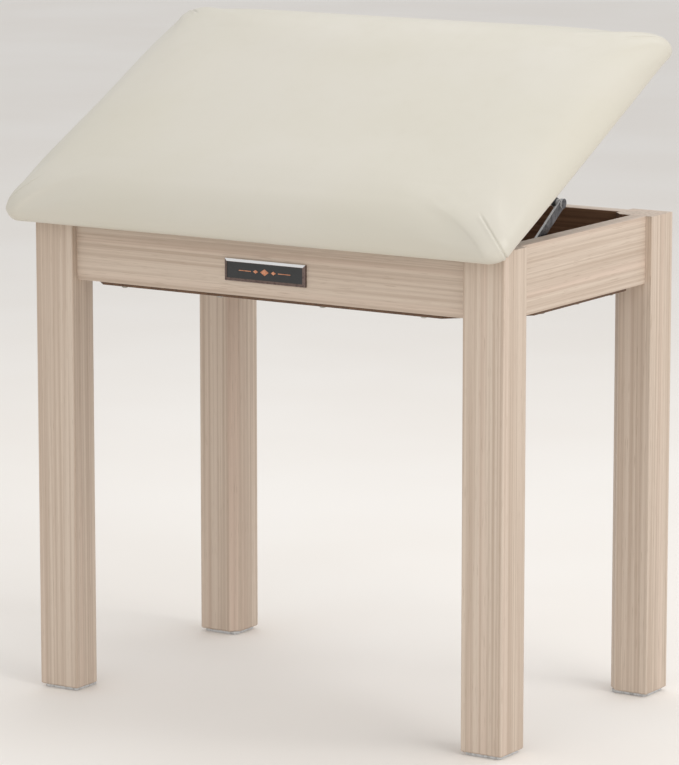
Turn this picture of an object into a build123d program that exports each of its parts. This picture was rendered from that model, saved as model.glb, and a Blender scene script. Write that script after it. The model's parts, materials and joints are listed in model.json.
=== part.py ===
from build123d import *
import math
import os

# Storage piano bench: a leg-and-apron box on four square legs, with a padded vinyl seat
# that is hinged along the front and held part open by two folding stays.
# Millimetres. +X is the right-hand side, -Y the front with the name plate, +Z up.
# The origin is on the floor, under the middle of the bench as it stands with the seat open.

os.makedirs("parts", exist_ok=True)

# ---- driving dimensions ----
# leg frame
frame_width = 500
frame_depth = 304
frame_height = 450
leg_width = 42
leg_depth = 39
leg_inner_cut = 8
leg_edge_round = 1.5
apron_height = 62
apron_thick = 16
apron_recess = 7
glide_thick = 3
panel_thick = 3
panel_inset = 3
panel_corner_gap = 6
apron_edge_round = 1
leg_foot_chamfer = 1.2

# fasteners. Screws with a raised head: head radius, head rise, shank radius, length
brace_screw_size = (3.2, 1.8, 1.7, 13)
panel_screw_size = (3.2, 1.6, 1.6, 14)
stay_screw_size = (3, 1.1, 1.5, 12)
bumper_screw_size = (2.6, 1.2, 1.4, 12)
# countersunk screws: head radius, shank radius, length
hinge_screw_size = (2.9, 1.4, 13)
panel_screw_rows_y = (-62, 0, 62)
panel_screw_rows_x = (-160, -55, 55, 160)

# glides and their nails
glide_inset = 2.5
glide_round = 4
glide_chamfer = 0.8
nail_head_radius = 3
nail_head_thick = 1
nail_radius = 1.2
nail_length = 20

# joints between the legs and the aprons
dowel_radius = 4
dowel_reach = 18
dowel_heights = (404, 434)
brace_gap = 6
brace_thick = 2
brace_height = 30
brace_flange = 14
brace_screw_from_edge = 6
brace_screw_spread = 8
bolt_radius = 4
bolt_end_chamfer = 2.5
bolt_hole_play = 0.3
washer_radius = 8.5
washer_thick = 1.6
nut_radius = 6.5
nut_height = 6.5
bolt_height = 419
bolt_depth = 32
bolt_stickout = 13

# seat
seat_width = 535
seat_depth = 354
seat_front_overhang = 34
seat_thick = 36
seat_corner = 24
seat_top_round = 22
seat_bottom_round = 11
vinyl_thick = 1
hem_width = 32
board_thick = 12
board_inset = 12.5
board_corner = 14
hem_corner = 6
lining_gap = 0.5
open_angle = 27.2
bumper_radius = 6
bumper_taper = 4
bumper_bore = 2.8
bumper_floor = 2
bumper_gap = 0.3

# seat hinges
pin_height = 452.5
pin_ahead = 1
pin_radius = 1.2
knuckle_radius = 2.2
knuckle_length = 12
knuckle_count = 5
knuckle_gap = 0.3
leaf_thick = 1.5
leaf_reach = 20
leaf_step = 2.5
leaf_knuckle_gap = 0.5
hinge_x = 130
hinge_screw_reach = 14.5
hinge_screw_spread = 0.36
pin_play = 0.05

# folding stays, laid out in the side view: (across the depth, height)
stay_foot = (-65, 436)
stay_elbow = (-8, 474)
stay_eye = (106.2, -8)
arm_width = 9
arm_web = 1.5
arm_flange = 0.8
flange_thick = 1.2
flange_from_pivot = 9
arm_to_bar = 4
bar_thick = 2
slot_back = 1.2
slot_ahead = 4.4
slot_play = 0.65
foot_plate = 1.5
foot_plate_centre = (-61, 430)
foot_plate_size = (32, 29)
foot_plate_round = 4
foot_boss_radius = 6
foot_screw_height = 421
foot_screw_places = (-71, -51)
rivet_radius = 2.5
rivet_head = 4.5
rivet_head_rise = 1.2
elbow_spacer = 4
eye_radius = 2
eye_rivet_head = 4
play = 0.3
running = 0.05
bracket_width = 20
bracket_length = 30
bracket_screw_in = 6
bracket_screw_spread = 8
ear_radius = 7

# name plate
plate_width = 86
plate_height = 20
plate_depth = 3
plate_centre = 411.5
plate_bevel = (2.4, 0.9)
plate_rim = 2.8
plate_floor = 1.8
plate_face_thick = 0.9
plate_pin_x = 30
plate_pin_radius = 1
plate_pin_length = 8
plate_pin_stub = 0.8
inlay_thick = 0.15
inlay_lozenges = ((0, 9, 6), (-9.5, 5.4, 3.4), (9.5, 5.4, 3.4))
inlay_rule = (13, 0.7)
inlay_rule_x = 21

# staples
staple_crown = 10
staple_wire = 1
staple_crown_thick = 0.6
staple_leg = 8
staple_inset = 17
lining_staple_inset = 7

# ---- working values ----
tilt = math.radians(open_angle)
leg_x = frame_width / 2 - leg_width / 2
leg_y = frame_depth / 2 - leg_depth / 2
inner_leg_x = frame_width / 2 - leg_width
inner_leg_y = frame_depth / 2 - leg_depth
apron_out_x = frame_width / 2 - apron_recess
apron_out_y = frame_depth / 2 - apron_recess
apron_in_x = apron_out_x - apron_thick
apron_in_y = apron_out_y - apron_thick
apron_mid_x = apron_out_x - apron_thick / 2
apron_mid_y = apron_out_y - apron_thick / 2
apron_low = frame_height - apron_height
pin_y = -(frame_depth / 2 - pin_ahead)
seat_top = leaf_step + seat_thick

# The open seat leans out past the front legs. Setting the leg frame back by half of that
# puts the origin under the middle of the whole bench.
seat_front = (
    pin_y
    - (seat_front_overhang - seat_top_round) * math.cos(tilt)
    - (seat_top - seat_top_round) * math.sin(tilt)
    - seat_top_round
)
frame_y = -(seat_front + frame_depth / 2) / 2

# floor: plan view, origin under the middle of the leg frame
# middle: the plane that halves the leg frame front to back
# side: side view, x towards the rear, y up, looking from the left
# seat: lies in the open seat; x along the hinge pin, y from the pin towards the rear edge
floor = Plane(origin=(0, frame_y, 0))
middle = Plane(origin=(0, frame_y, 0), x_dir=(1, 0, 0), z_dir=(0, -1, 0))
side = Plane(origin=(0, frame_y, 0), x_dir=(0, 1, 0), z_dir=(1, 0, 0))
seat = Plane(
    origin=(0, frame_y + pin_y, pin_height),
    x_dir=(1, 0, 0),
    z_dir=(0, -math.sin(tilt), math.cos(tilt)),
)


def save(piece, name):
    piece.part.label = name
    export_step(piece.part, f"parts/{name}.step")


def to_all_corners():
    """Repeat what the current part holds at the other three corners of the bench."""
    mirror(about=Plane.YZ)
    mirror(about=middle)


def turned(profile):
    """A solid of revolution about Z from (radius, height) points that start and end on Z."""
    with BuildPart() as piece:
        with BuildSketch(Plane.XZ):
            with BuildLine():
                Polyline(*profile, close=True)
            make_face()
        revolve(axis=Axis.Z)
    return piece.part


def flat_head_screw(head, shank, length):
    """Countersunk screw: its head's face is at z = 0 and its point hangs below."""
    sink = head - shank
    return turned([(0, 0), (head, 0), (shank, -sink), (shank, -length + 2 * shank), (0, -length)])


def pan_head_screw(head, rise, shank, length):
    """Round-headed screw: the head stands on z = 0 and its point hangs below."""
    return turned(
        [(0, rise), (head * 0.7, rise), (head, rise * 0.4), (head, 0), (shank, 0),
         (shank, -length + 2 * shank), (0, -length)]
    )


# ---- dowels that join each apron end to its leg ----
with BuildPart() as apron_dowels:
    with BuildSketch(side.offset(inner_leg_x)):
        with Locations(*[(apron_mid_y, h) for h in dowel_heights]):
            Circle(dowel_radius)
    extrude(amount=dowel_reach, both=True)
    with BuildSketch(middle.offset(-inner_leg_y)):
        with Locations(*[(apron_mid_x, h) for h in dowel_heights]):
            Circle(dowel_radius)
    extrude(amount=dowel_reach, both=True)
    to_all_corners()
save(apron_dowels, "apron_dowels")

# ---- hanger bolts: wood thread in the leg's cut corner, machine thread through the brace ----
leg_cut_middle = (inner_leg_x + leg_inner_cut / 2, inner_leg_y + leg_inner_cut / 2)
diagonal = Plane(
    origin=(leg_cut_middle[0], frame_y + leg_cut_middle[1], bolt_height),
    x_dir=(1, -1, 0),
    z_dir=(-1, -1, 0),
)
brace_face = brace_gap + brace_thick

with BuildPart() as hanger_bolts:
    with BuildSketch(diagonal.offset(-bolt_depth)):
        Circle(bolt_radius)
    extrude(amount=bolt_depth + brace_face + bolt_stickout)
    chamfer(hanger_bolts.faces().sort_by(Axis((0, 0, 0), (1, 1, 0)))[-1].edges(), bolt_end_chamfer)
    to_all_corners()
save(hanger_bolts, "hanger_bolts")

with BuildPart() as brace_washers:
    with BuildSketch(diagonal.offset(brace_face)):
        Circle(washer_radius)
        Circle(bolt_radius, mode=Mode.SUBTRACT)
    extrude(amount=washer_thick)
    to_all_corners()
save(brace_washers, "brace_washers")

with BuildPart() as brace_nuts:
    with BuildSketch(diagonal.offset(brace_face + washer_thick)):
        RegularPolygon(nut_radius, 6, major_radius=False)
        Circle(bolt_radius, mode=Mode.SUBTRACT)
    extrude(amount=nut_height)
    to_all_corners()
save(brace_nuts, "brace_nuts")

# ---- steel corner braces, bent to lie against both aprons ----
brace_low = bolt_height - brace_height / 2
leg_side = inner_leg_x + inner_leg_y + leg_inner_cut - brace_gap * math.sqrt(2)
room_side = leg_side - brace_thick * math.sqrt(2)
flange_in_x = apron_in_x - brace_thick
flange_in_y = apron_in_y - brace_thick
flange_end_x = leg_side - apron_in_y - brace_flange
flange_end_y = leg_side - apron_in_x - brace_flange
brace_screw = pan_head_screw(*brace_screw_size)
brace_screw_x = flange_end_x + brace_screw_from_edge
brace_screw_y = frame_y + flange_end_y + brace_screw_from_edge
brace_screw_heights = (bolt_height - brace_screw_spread, bolt_height + brace_screw_spread)

with BuildPart() as brace_screws:
    with Locations(*[Location((flange_in_x, brace_screw_y, h), (0, -90, 0)) for h in brace_screw_heights]):
        add(brace_screw)
    with Locations(
        *[Location((brace_screw_x, frame_y + flange_in_y, h), (90, 0, 0)) for h in brace_screw_heights]
    ):
        add(brace_screw)
    to_all_corners()
save(brace_screws, "brace_screws")

with BuildPart() as corner_braces:
    with BuildSketch(floor.offset(brace_low)):
        with BuildLine():
            Polyline(
                (apron_in_x, flange_end_y),
                (apron_in_x, leg_side - apron_in_x),
                (leg_side - apron_in_y, apron_in_y),
                (flange_end_x, apron_in_y),
                (flange_end_x, flange_in_y),
                (room_side - flange_in_y, flange_in_y),
                (flange_in_x, room_side - flange_in_x),
                (flange_in_x, flange_end_y),
                close=True,
            )
        make_face()
    extrude(amount=brace_height)
    with BuildSketch(diagonal):
        Circle(bolt_radius + bolt_hole_play)
    extrude(amount=brace_face + 1, mode=Mode.SUBTRACT)
    to_all_corners()
    add(brace_screws.part, mode=Mode.SUBTRACT)
save(corner_braces, "corner_braces")

# ---- glides under the legs, each held by a nail ----
glide_nail = turned(
    [(0, 0), (nail_head_radius, 0), (nail_head_radius, nail_head_thick), (nail_radius, nail_head_thick),
     (nail_radius, nail_length - 2 * nail_radius), (0, nail_length)]
)

with BuildPart() as glide_nails:
    with Locations((leg_x, frame_y + leg_y, nail_head_thick)):
        add(glide_nail)
    to_all_corners()
save(glide_nails, "glide_nails")

with BuildPart() as leg_glides:
    with BuildSketch(floor):
        with Locations((leg_x, leg_y)):
            RectangleRounded(leg_width - 2 * glide_inset, leg_depth - 2 * glide_inset, glide_round)
    extrude(amount=glide_thick)
    chamfer(leg_glides.faces().sort_by(Axis.Z)[0].edges(), glide_chamfer)
    with Locations((leg_x, frame_y + leg_y, 0)):
        Cylinder(
            nail_head_radius, nail_head_thick,
            align=(Align.CENTER, Align.CENTER, Align.MIN), mode=Mode.SUBTRACT,
        )
    to_all_corners()
    add(glide_nails.part, mode=Mode.SUBTRACT)
save(leg_glides, "leg_glides")


# ---- legs: square, with the corner that faces into the box cut off ----
def make_leg(side_x, side_y):
    with BuildPart() as leg:
        with BuildSketch(floor.offset(glide_thick)) as section:
            with Locations((side_x * leg_x, side_y * leg_y)):
                Rectangle(leg_width, leg_depth)
            corners = section.vertices().sort_by_distance((0, 0, 0))
            chamfer(corners[0], leg_inner_cut)
            fillet(section.vertices().sort_by_distance((0, 0, 0))[2:], leg_edge_round)
        extrude(amount=frame_height - glide_thick)
        chamfer(leg.faces().sort_by(Axis.Z)[0].edges(), leg_foot_chamfer)
        for held in (apron_dowels, hanger_bolts, glide_nails):
            add(held.part, mode=Mode.SUBTRACT)
    return leg


for leg_name, side_x, side_y in (
    ("leg_front_left", -1, -1),
    ("leg_front_right", 1, -1),
    ("leg_rear_left", -1, 1),
    ("leg_rear_right", 1, 1),
):
    save(make_leg(side_x, side_y), leg_name)

# ---- bottom panel: hardboard with its corners cut to clear the legs ----
panel_x = apron_out_x - panel_inset
panel_y = apron_out_y - panel_inset
panel_cut = panel_x + panel_y - (inner_leg_x + inner_leg_y + leg_inner_cut - panel_corner_gap)

panel_low = apron_low - panel_thick
panel_screw = pan_head_screw(*panel_screw_size)

with BuildPart() as bottom_panel_screws:
    for side_x in (-1, 1):
        with Locations(*[Location((side_x * apron_mid_x, frame_y + y, panel_low), (180, 0, 0))
                         for y in panel_screw_rows_y]):
            add(panel_screw)
    for side_y in (-1, 1):
        with Locations(*[Location((x, frame_y + side_y * apron_mid_y, panel_low), (180, 0, 0))
                         for x in panel_screw_rows_x]):
            add(panel_screw)
save(bottom_panel_screws, "bottom_panel_screws")

with BuildPart() as bottom_panel:
    with BuildSketch(floor.offset(panel_low)) as outline:
        Rectangle(2 * panel_x, 2 * panel_y)
        chamfer(outline.vertices(), panel_cut)
    extrude(amount=panel_thick)
    add(bottom_panel_screws.part, mode=Mode.SUBTRACT)
save(bottom_panel, "bottom_panel")

# ---- seat hinges: knuckles hang just ahead of the front apron, under the overhang ----
knuckle_pitch = knuckle_length + knuckle_gap
hinge_length = knuckle_count * knuckle_pitch - knuckle_gap
hinge_screw_offsets = (-hinge_length * hinge_screw_spread, 0, hinge_length * hinge_screw_spread)
hinge_screw = flat_head_screw(*hinge_screw_size)
leaf_start = knuckle_radius + leaf_knuckle_gap
pin_plane = Plane(origin=(0, frame_y + pin_y, pin_height), x_dir=(0, 1, 0), z_dir=(1, 0, 0))
seat_side = Plane(origin=seat.origin, x_dir=seat.y_dir, z_dir=(1, 0, 0))


def make_leaves(across, upright, first, face):
    """Both hinges' leaves on one side of the pin.

    across is the side-view plane, upright the plane that the leaf lies along, first the
    first knuckle this leaf owns, and face the leaf's mid height above the pin.
    """
    with BuildPart() as leaves:
        for centre in (-hinge_x, hinge_x):
            start = centre - hinge_length / 2
            with BuildSketch(upright.offset(face - leaf_thick / 2)):
                with Locations((centre, (leaf_reach + leaf_start) / 2)):
                    Rectangle(hinge_length, leaf_reach - leaf_start)
                for knuckle in range(first, knuckle_count, 2):
                    with Locations((start + knuckle * knuckle_pitch + knuckle_length / 2, knuckle_radius)):
                        Rectangle(knuckle_length, 2 * knuckle_radius)
            extrude(amount=leaf_thick)
            for knuckle in range(first, knuckle_count, 2):
                with BuildSketch(across.offset(start + knuckle * knuckle_pitch)):
                    Circle(knuckle_radius)
                extrude(amount=knuckle_length)
                with BuildSketch(across.offset(start + knuckle * knuckle_pitch)):
                    Circle(pin_radius + (0 if first == 0 else pin_play))
                extrude(amount=knuckle_length, mode=Mode.SUBTRACT)
    return leaves


with BuildPart() as hinge_pins:
    for centre in (-hinge_x, hinge_x):
        with BuildSketch(pin_plane.offset(centre - hinge_length / 2)):
            Circle(pin_radius)
        extrude(amount=hinge_length)
save(hinge_pins, "hinge_pins")

leaf_low = pin_height - leaf_step
with BuildPart() as hinge_frame_screws:
    with Locations(*[(centre + x, frame_y + pin_y + hinge_screw_reach, leaf_low + leaf_thick)
                     for centre in (-hinge_x, hinge_x) for x in hinge_screw_offsets]):
        add(hinge_screw)
save(hinge_frame_screws, "hinge_frame_screws")

with BuildPart(seat) as hinge_seat_screws:
    with Locations(*[Location((centre + x, hinge_screw_reach, leaf_step - leaf_thick), (180, 0, 0))
                     for centre in (-hinge_x, hinge_x) for x in hinge_screw_offsets]):
        add(hinge_screw)
save(hinge_seat_screws, "hinge_seat_screws")

hinge_floor = Plane(origin=(0, frame_y + pin_y, pin_height))
hinge_frame_leaves = make_leaves(pin_plane, hinge_floor, 0, -(leaf_step - leaf_thick / 2))
with hinge_frame_leaves:
    add(hinge_frame_screws.part, mode=Mode.SUBTRACT)
save(hinge_frame_leaves, "hinge_frame_leaves")

hinge_seat_leaves = make_leaves(seat_side, seat, 1, leaf_step - leaf_thick / 2)
with hinge_seat_leaves:
    add(hinge_seat_screws.part, mode=Mode.SUBTRACT)
save(hinge_seat_leaves, "hinge_seat_leaves")

# ---- stays. Right-hand side; the left-hand side is its mirror image ----
# Layers from the apron inwards: foot plate, channel arm, flat bar, ear on the seat.
arm_out = apron_in_x - foot_plate - 2 * play
arm_in = arm_out - arm_web
flange_edge = arm_in - arm_flange
bar_out = arm_in - arm_to_bar
bar_in = bar_out - bar_thick
ear_out = bar_in - play
ear_in = ear_out - bar_thick

foot_at = Vector(*stay_foot)
elbow_at = Vector(*stay_elbow)
arm_length = (elbow_at - foot_at).length
eye_at = Vector(
    pin_y + stay_eye[0] * math.cos(tilt) - stay_eye[1] * math.sin(tilt),
    pin_height + stay_eye[0] * math.sin(tilt) + stay_eye[1] * math.cos(tilt),
)
bar_length = (eye_at - elbow_at).length


def arm_plane(start, end, x):
    """Plane at x whose own x axis runs from start to end of an arm, seen from the side."""
    run = (end - start).normalized()
    return Plane(origin=(x, frame_y + start.X, start.Y), x_dir=(0, run.X, run.Y), z_dir=(1, 0, 0))


def side_disc(centre, radius, from_x, to_x):
    """A round boss or shank across the bench, from one x to another."""
    with BuildPart() as disc:
        with BuildSketch(side.offset(from_x)):
            with Locations((centre.X, centre.Y)):
                Circle(radius)
        extrude(amount=to_x - from_x)
    return disc.part


def save_pair(piece, left_name, right_name):
    with BuildPart() as left:
        mirror(piece.part, about=Plane.YZ)
    save(left, left_name)
    save(piece, right_name)


stay_screw = pan_head_screw(*stay_screw_size)

with BuildPart() as stay_foot_screws:
    with Locations(*[Location((apron_in_x - foot_plate, frame_y + y, foot_screw_height), (0, -90, 0))
                     for y in foot_screw_places]):
        add(stay_screw)
    mirror(about=Plane.YZ)
save(stay_foot_screws, "stay_foot_screws")

with BuildPart() as stay_foot_rivets:
    add(side_disc(foot_at, rivet_radius, arm_in - play, apron_in_x))
    add(side_disc(foot_at, rivet_head, arm_in - play - rivet_head_rise, arm_in - play))
    mirror(about=Plane.YZ)
save(stay_foot_rivets, "stay_foot_rivets")

with BuildPart() as stay_foot_plates:
    with BuildSketch(side.offset(apron_in_x - foot_plate)):
        with Locations(foot_plate_centre):
            RectangleRounded(*foot_plate_size, foot_plate_round)
    extrude(amount=foot_plate)
    add(side_disc(foot_at, foot_boss_radius, arm_out + play, apron_in_x - foot_plate))
    mirror(about=Plane.YZ)
    add(stay_foot_screws.part, mode=Mode.SUBTRACT)
    add(stay_foot_rivets.part, mode=Mode.SUBTRACT)
save(stay_foot_plates, "stay_foot_plates")

with BuildPart() as stay_arm_right:
    with BuildSketch(arm_plane(foot_at, elbow_at, arm_in)):
        with Locations((arm_length / 2, 0)):
            SlotCenterToCenter(arm_length, arm_width)
        Circle(rivet_radius + running, mode=Mode.SUBTRACT)
        with Locations((arm_length, 0)):
            Circle(rivet_radius, mode=Mode.SUBTRACT)
    extrude(amount=arm_web)
    with BuildSketch(arm_plane(foot_at, elbow_at, flange_edge)):
        for edge in (-1, 1):
            with Locations((arm_length / 2, edge * (arm_width - flange_thick) / 2)):
                Rectangle(arm_length - 2 * flange_from_pivot, flange_thick)
    extrude(amount=arm_flange)
save_pair(stay_arm_right, "stay_arm_left", "stay_arm_right")

with BuildPart() as stay_elbow_rivet_right:
    add(side_disc(elbow_at, rivet_head, arm_out, arm_out + rivet_head_rise))
    add(side_disc(elbow_at, rivet_radius, bar_in - play, arm_out))
    add(side_disc(elbow_at, elbow_spacer, bar_out + play, arm_in))
    add(side_disc(elbow_at, rivet_head, bar_in - play - rivet_head_rise, bar_in - play))
save_pair(stay_elbow_rivet_right, "stay_elbow_rivet_left", "stay_elbow_rivet_right")

with BuildPart() as stay_bar_right:
    with BuildSketch(arm_plane(elbow_at, eye_at, bar_in)):
        with Locations(((bar_length + slot_ahead) / 2, 0)):
            SlotCenterToCenter(bar_length + slot_ahead, arm_width)
        Circle(rivet_radius + running, mode=Mode.SUBTRACT)
        with Locations((bar_length + (slot_ahead - slot_back) / 2, 0)):
            SlotCenterToCenter(slot_ahead + slot_back, 2 * (eye_radius + slot_play), mode=Mode.SUBTRACT)
    extrude(amount=bar_thick)
save_pair(stay_bar_right, "stay_bar_left", "stay_bar_right")

with BuildPart() as stay_seat_rivets:
    add(side_disc(eye_at, rivet_head, bar_out + play, bar_out + play + rivet_head_rise))
    add(side_disc(eye_at, eye_radius, ear_in, bar_out + play))
    add(side_disc(eye_at, eye_rivet_head, ear_in - rivet_head_rise, ear_in))
    mirror(about=Plane.YZ)
save(stay_seat_rivets, "stay_seat_rivets")

eye_s, eye_n = stay_eye
bracket_screw_x = ear_out - bracket_width + bracket_screw_in

with BuildPart(seat) as stay_seat_screws:
    with Locations(*[Location((bracket_screw_x, eye_s + y, leaf_step - bar_thick), (180, 0, 0))
                     for y in (-bracket_screw_spread, bracket_screw_spread)]):
        add(stay_screw)
    mirror(about=Plane.YZ)
save(stay_seat_screws, "stay_seat_screws")

with BuildPart() as stay_seat_brackets:
    with BuildSketch(seat.offset(leaf_step - bar_thick)):
        with Locations((ear_out - bracket_width / 2, eye_s)):
            Rectangle(bracket_width, bracket_length)
    extrude(amount=bar_thick)
    with BuildSketch(seat_side.offset(ear_in)):
        with BuildLine():
            Line((eye_s - bracket_length / 2, leaf_step), (eye_s + bracket_length / 2, leaf_step))
            Line((eye_s + bracket_length / 2, leaf_step), (eye_s + ear_radius, eye_n))
            ThreePointArc(
                (eye_s + ear_radius, eye_n), (eye_s, eye_n - ear_radius), (eye_s - ear_radius, eye_n)
            )
            Line((eye_s - ear_radius, eye_n), (eye_s - bracket_length / 2, leaf_step))
        make_face()
    extrude(amount=bar_thick)
    mirror(about=Plane.YZ)
    add(stay_seat_rivets.part, mode=Mode.SUBTRACT)
    add(stay_seat_screws.part, mode=Mode.SUBTRACT)
save(stay_seat_brackets, "stay_seat_brackets")

# ---- name plate: a cast rim with a dark enamelled face, pinned to the front apron ----
plate_out = middle.offset(apron_out_y)

with BuildPart() as name_plate_pins:
    with BuildSketch(plate_out):
        with Locations((-plate_pin_x, plate_centre), (plate_pin_x, plate_centre)):
            Circle(plate_pin_radius)
    extrude(amount=-plate_pin_length)
    extrude(to_extrude=name_plate_pins.faces().sort_by(Axis.Y)[:2], amount=plate_pin_stub)
save(name_plate_pins, "name_plate_pins")

with BuildPart() as name_plate_rim:
    with BuildSketch(plate_out):
        with Locations((0, plate_centre)):
            Rectangle(plate_width, plate_height)
    extrude(amount=plate_depth)
    front = name_plate_rim.faces().sort_by(Axis.Y)[0]
    chamfer(front.edges(), *plate_bevel, reference=name_plate_rim.faces().sort_by(Axis.Y)[0])
    with BuildSketch(plate_out.offset(plate_floor)):
        with Locations((0, plate_centre)):
            Rectangle(plate_width - 2 * plate_rim, plate_height - 2 * plate_rim)
    extrude(amount=plate_depth, mode=Mode.SUBTRACT)
    add(name_plate_pins.part, mode=Mode.SUBTRACT)
save(name_plate_rim, "name_plate_rim")

with BuildPart() as name_plate_face:
    with BuildSketch(plate_out.offset(plate_floor)):
        with Locations((0, plate_centre)):
            Rectangle(plate_width - 2 * plate_rim, plate_height - 2 * plate_rim)
    extrude(amount=plate_face_thick)
save(name_plate_face, "name_plate_face")

with BuildPart() as name_plate_inlay:
    with BuildSketch(plate_out.offset(plate_floor + plate_face_thick)):
        for lozenge_x, lozenge_width, lozenge_height in inlay_lozenges:
            with BuildLine():
                Polyline(
                    (lozenge_x - lozenge_width / 2, plate_centre),
                    (lozenge_x, plate_centre - lozenge_height / 2),
                    (lozenge_x + lozenge_width / 2, plate_centre),
                    (lozenge_x, plate_centre + lozenge_height / 2),
                    close=True,
                )
            make_face()
        with Locations((-inlay_rule_x, plate_centre), (inlay_rule_x, plate_centre)):
            Rectangle(*inlay_rule)
    extrude(amount=inlay_thick)
save(name_plate_inlay, "name_plate_inlay")


# ---- aprons ----
def make_apron(centre_x, centre_y, length_x, length_y):
    with BuildPart() as apron:
        with BuildSketch(floor.offset(apron_low)):
            with Locations((centre_x, centre_y)):
                Rectangle(length_x, length_y)
        extrude(amount=apron_height)
        along = Axis.X if length_x > length_y else Axis.Y
        fillet(apron.edges().filter_by(along).group_by(Axis.Z)[-1], apron_edge_round)
        for held in apron_fasteners:
            add(held.part, mode=Mode.SUBTRACT)
    return apron


apron_fasteners = (
    apron_dowels, brace_screws, bottom_panel_screws, hinge_frame_screws, stay_foot_screws,
    name_plate_pins,
)
save(make_apron(0, -apron_mid_y, 2 * inner_leg_x, apron_thick), "apron_front")
save(make_apron(0, apron_mid_y, 2 * inner_leg_x, apron_thick), "apron_rear")
save(make_apron(-apron_mid_x, 0, apron_thick, 2 * inner_leg_y), "apron_left")
save(make_apron(apron_mid_x, 0, apron_thick, 2 * inner_leg_y), "apron_right")

# ---- seat: board, foam, vinyl cover turned under the board, lining and staples ----
seat_middle = seat_depth / 2 - seat_front_overhang
board_low = leaf_step + vinyl_thick
board_high = board_low + board_thick


def rounded_block(plane, shrink, low, high, top_round, bottom_round):
    """A seat-shaped block, shrunk all round, between two heights above the hinge pin."""
    with BuildPart() as block:
        with BuildSketch(plane.offset(low)):
            with Locations((0, seat_middle)):
                RectangleRounded(
                    seat_width - 2 * shrink, seat_depth - 2 * shrink, seat_corner - shrink
                )
        extrude(amount=high - low)
        faces = block.faces().sort_by(Axis(plane.origin, plane.z_dir))
        fillet(faces[-1].edges(), top_round)
        faces = block.faces().sort_by(Axis(plane.origin, plane.z_dir))
        fillet(faces[0].edges(), bottom_round)
    return block.part


seat_outside = rounded_block(seat, 0, leaf_step, seat_top, seat_top_round, seat_bottom_round)
seat_inside = rounded_block(
    seat, vinyl_thick, board_low, seat_top - vinyl_thick,
    seat_top_round - vinyl_thick, seat_bottom_round - vinyl_thick,
)

hem_row_x = seat_width / 2 - staple_inset
hem_row_y = seat_depth / 2 - staple_inset
lining_row_x = seat_width / 2 - hem_width - lining_staple_inset
lining_row_y = seat_depth / 2 - hem_width - lining_staple_inset


def staple_rows():
    """(x, y, turn) of every staple, with none where a hinge covers the lining's front edge."""
    places = []
    for side_sign in (-1, 1):
        places += [(x, side_sign * hem_row_y, 0) for x in range(-225, 226, 45)]
        places += [(side_sign * hem_row_x, y, 90) for y in range(-120, 121, 40)]
        places += [(side_sign * lining_row_x, y, 90) for y in range(-80, 81, 80)]
    places += [(x, -lining_row_y, 0) for x in (-180, 0, 180)]
    places += [(x, lining_row_y, 0) for x in range(-180, 181, 90)]
    return places


def make_staple():
    """A staple with its crown flat under the board and both legs up into it."""
    with BuildPart() as staple:
        with Locations((0, 0, -staple_crown_thick / 2)):
            Box(staple_crown, staple_wire, staple_crown_thick)
        leg_place = (staple_crown - staple_wire) / 2
        with Locations((-leg_place, 0, staple_leg / 2), (leg_place, 0, staple_leg / 2)):
            Box(staple_wire, staple_wire, staple_leg)
    return staple.part


staple = make_staple()
with BuildPart(seat) as seat_staples:
    with Locations(*[Location((x, seat_middle + y, leaf_step), (0, 0, turn))
                     for x, y, turn in staple_rows()]):
        add(staple)
save(seat_staples, "seat_staples")

# rubber bumpers that the closed seat stands on, over the tops of the legs
bumper_height = 2 * leaf_step - bumper_gap
bumper_places = [(x, y - pin_y) for x in (-leg_x, leg_x) for y in (-leg_y, leg_y)]
bumper_screw = pan_head_screw(*bumper_screw_size)

with BuildPart(seat) as bumper_screws:
    with Locations(*[Location((x, y, leaf_step - bumper_floor), (180, 0, 0)) for x, y in bumper_places]):
        add(bumper_screw)
save(bumper_screws, "bumper_screws")

with BuildPart() as seat_bumpers:
    with BuildSketch(seat.offset(leaf_step)):
        with Locations(*bumper_places):
            Circle(bumper_radius)
    extrude(amount=-bumper_height, taper=bumper_taper)
    with BuildSketch(seat.offset(leaf_step - bumper_floor)):
        with Locations(*bumper_places):
            Circle(bumper_bore)
    extrude(amount=-bumper_height, mode=Mode.SUBTRACT)
    add(bumper_screws.part, mode=Mode.SUBTRACT)
save(seat_bumpers, "seat_bumpers")

seat_fasteners = (seat_staples, hinge_seat_screws, stay_seat_screws, bumper_screws)

with BuildPart() as seat_board:
    with BuildSketch(seat.offset(board_low)):
        with Locations((0, seat_middle)):
            RectangleRounded(seat_width - 2 * board_inset, seat_depth - 2 * board_inset, board_corner)
    extrude(amount=board_thick)
seat_board_plain = seat_board.part
with seat_board:
    for held in seat_fasteners:
        add(held.part, mode=Mode.SUBTRACT)
save(seat_board, "seat_board")

with BuildPart() as seat_foam:
    add(seat_inside)
    add(seat_board_plain, mode=Mode.SUBTRACT)
save(seat_foam, "seat_foam")

with BuildPart() as seat_cover:
    add(seat_outside)
    add(seat_inside, mode=Mode.SUBTRACT)
    with BuildSketch(seat.offset(leaf_step)):
        with Locations((0, seat_middle)):
            RectangleRounded(seat_width - 2 * hem_width, seat_depth - 2 * hem_width, hem_corner)
    extrude(amount=vinyl_thick, mode=Mode.SUBTRACT)
    add(seat_staples.part, mode=Mode.SUBTRACT)
save(seat_cover, "seat_cover")

lining_width = seat_width - 2 * (hem_width + lining_gap)
lining_depth = seat_depth - 2 * (hem_width + lining_gap)

with BuildPart() as seat_lining:
    with BuildSketch(seat.offset(leaf_step)):
        with Locations((0, seat_middle)):
            RectangleRounded(lining_width, lining_depth, hem_corner)
    extrude(amount=vinyl_thick)
    for held in seat_fasteners:
        add(held.part, mode=Mode.SUBTRACT)
save(seat_lining, "seat_lining")
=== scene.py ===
import json
import math

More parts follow.
